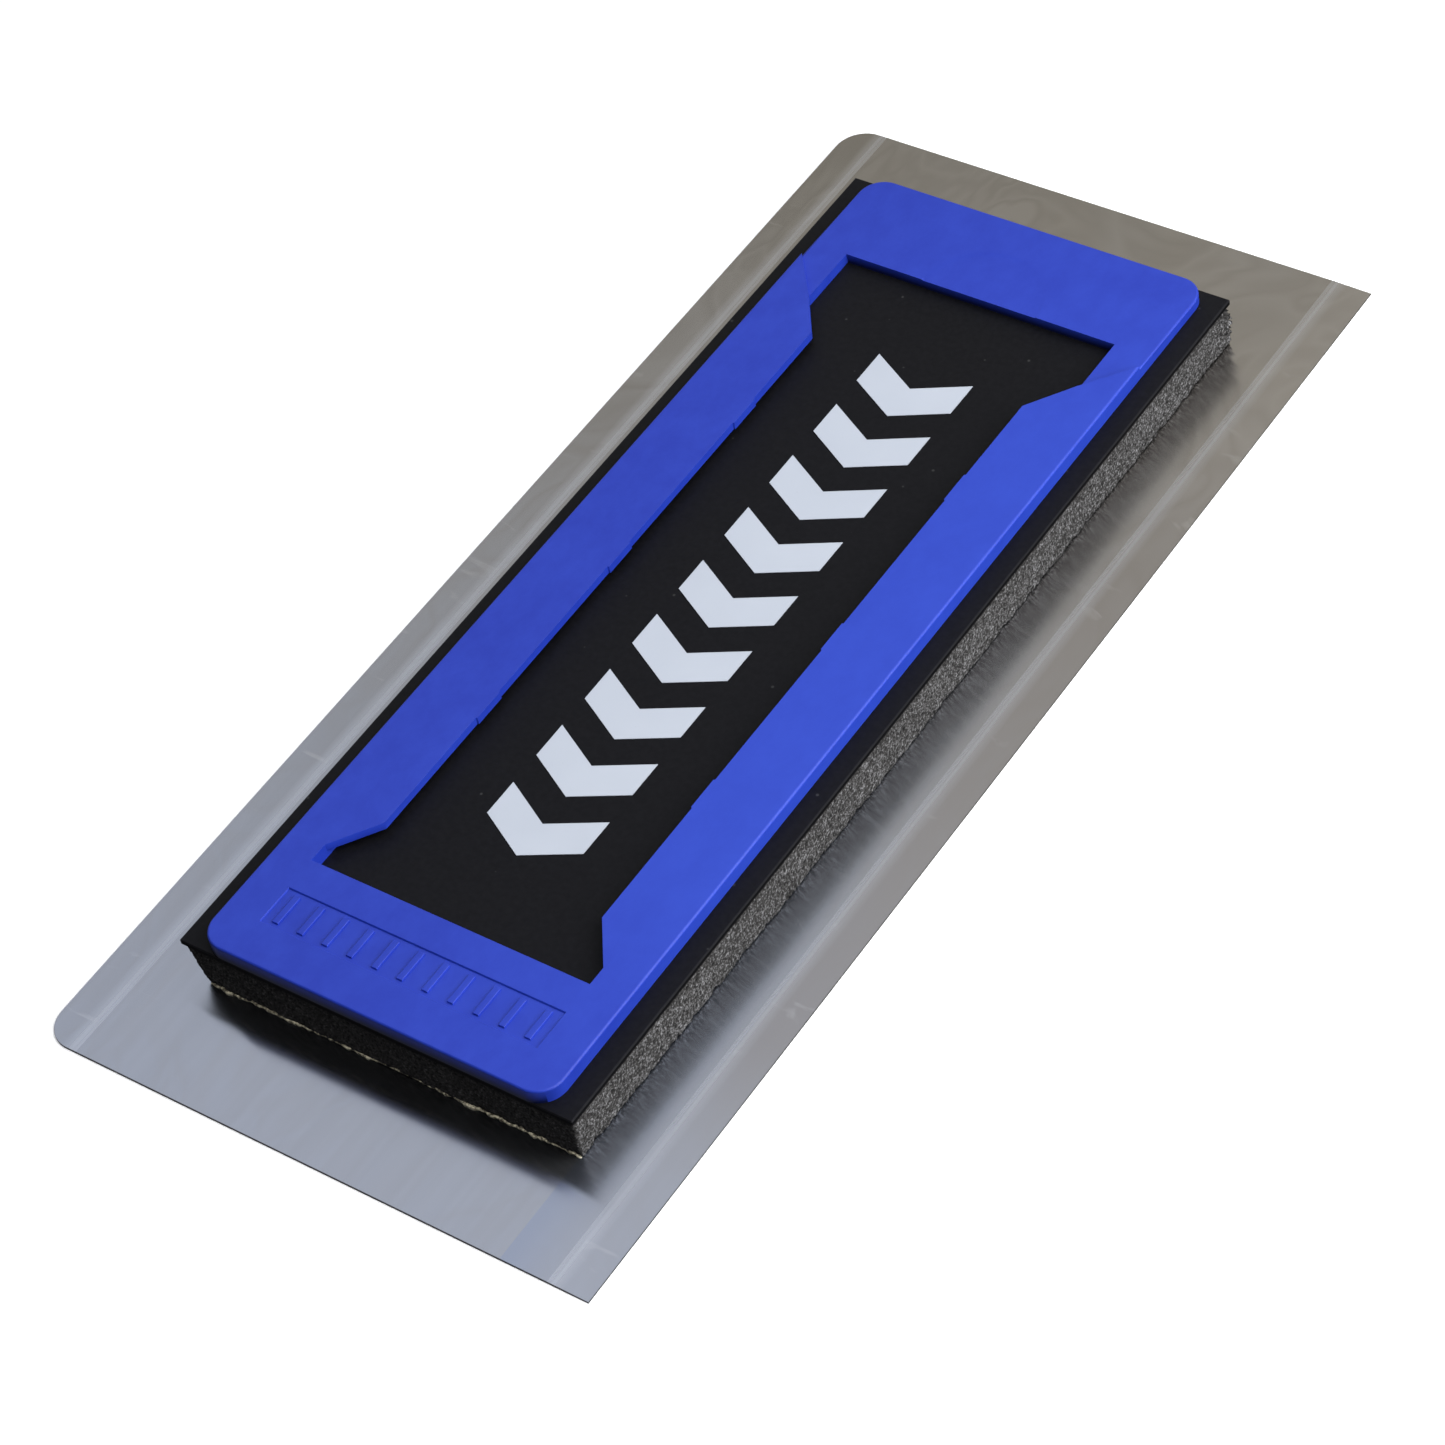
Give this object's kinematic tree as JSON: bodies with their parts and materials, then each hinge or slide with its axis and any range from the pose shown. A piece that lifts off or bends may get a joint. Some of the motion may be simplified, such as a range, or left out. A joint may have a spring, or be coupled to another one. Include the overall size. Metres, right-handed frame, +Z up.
{
  "type": "quick-fit trowel float head",
  "caption": "Rectangular steel blade on a foam cushion, with a backing plate and a slotted frame that a slide-in handle shoe locks under.",
  "frame": {"origin": "centre of the blade's working face, the flat underside", "axes": "+X across the blade towards its square-cornered long edge, +Y along the blade towards the end where the handle shoe drops in, +Z up from the working face to the handle side"},
  "size_m": [0.127, 0.28, 0.0153],
  "materials": {
    "blade_steel": "rolled and lightly brushed stainless steel, half mirror",
    "adhesive": "pale contact adhesive, satin",
    "foam": "dark grey cellular foam with cut open cells on its sides",
    "plate_plastic": "black sheet plastic, fine matt grain",
    "frame_plastic": "moulded plastic, semi-gloss",
    "ink": "white screen ink"
  },
  "bodies": {
    "root": {"steel_blade": "blade_steel", "blade_adhesive": "adhesive", "foam_pad": "foam", "plate_adhesive": "adhesive", "backing_plate": "plate_plastic", "quick_fit_frame": "frame_plastic", "printed_marking": "ink"}
  },
  "joints": []
}
